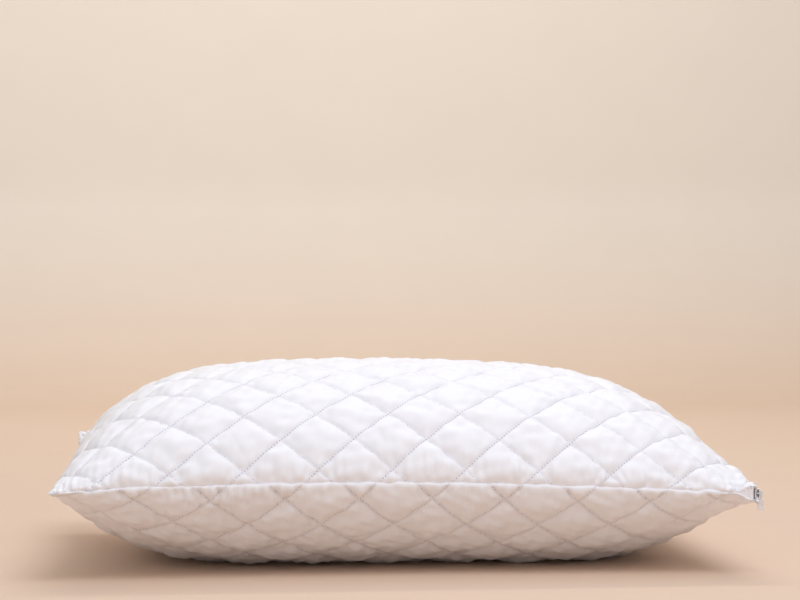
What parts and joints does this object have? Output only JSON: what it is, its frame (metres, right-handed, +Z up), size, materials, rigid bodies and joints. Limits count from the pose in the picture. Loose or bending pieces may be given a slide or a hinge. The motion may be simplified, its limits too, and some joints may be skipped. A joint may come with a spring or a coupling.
{
  "type": "bed pillow",
  "caption": "Stuffed bed pillow with a quilted cover, a zip along one short side and a flattened underside that it lies on.",
  "frame": {"origin": "middle of the flattened underside, on the surface that the pillow lies on", "axes": "+X along the pillow's length towards the zipped short side, -Y towards the front long side where the closed slider is parked, +Z up"},
  "size_m": [0.6584, 0.46, 0.1963],
  "materials": {
    "face_fabric": "smooth white microfibre satin",
    "wadding": "bonded polyester wadding",
    "lining": "white non-woven lining",
    "overlock": "overlocked cloth edge",
    "zip_tape": "white woven polyester tape",
    "zip_coil": "white nylon coil",
    "stop": "moulded white nylon",
    "slider": "white lacquered zinc casting",
    "puller": "white lacquered steel",
    "casing": "white non-woven insert casing",
    "fill": "hollow polyester fibre"
  },
  "bodies": {
    "pillow": {"upper_face_fabric": "face_fabric", "upper_wadding": "wadding", "upper_lining": "lining", "lower_face_fabric": "face_fabric", "lower_wadding": "wadding", "lower_lining": "lining", "seam_allowance": "overlock", "zip_end_patch_front": "face_fabric", "zip_end_patch_back": "face_fabric", "zip_tape_upper": "zip_tape", "zip_tape_lower": "zip_tape", "zip_coil_upper": "zip_coil", "zip_coil_lower": "zip_coil", "top_stop_upper": "stop", "top_stop_lower": "stop", "bottom_stop": "stop", "insert_casing_upper": "casing", "insert_casing_lower": "casing", "insert_seam_flange": "casing", "fibre_fill": "fill"},
    "slider": {"slider_body": "slider"},
    "puller": {"puller_tab": "puller"}
  },
  "joints": [
    {"name": "zip_slide", "type": "slide", "parent": "pillow", "child": "slider", "axis": [0, 1, 0], "range_m": [0, 0.4334], "deforming": ["zip_coil_upper", "zip_coil_lower"]},
    {"name": "puller_swing", "type": "hinge", "parent": "slider", "child": "puller", "pos_m": [0.3304, -0.2207, 0.078], "axis": [0, -1, 0], "range_deg": [-8, 188]}
  ]
}
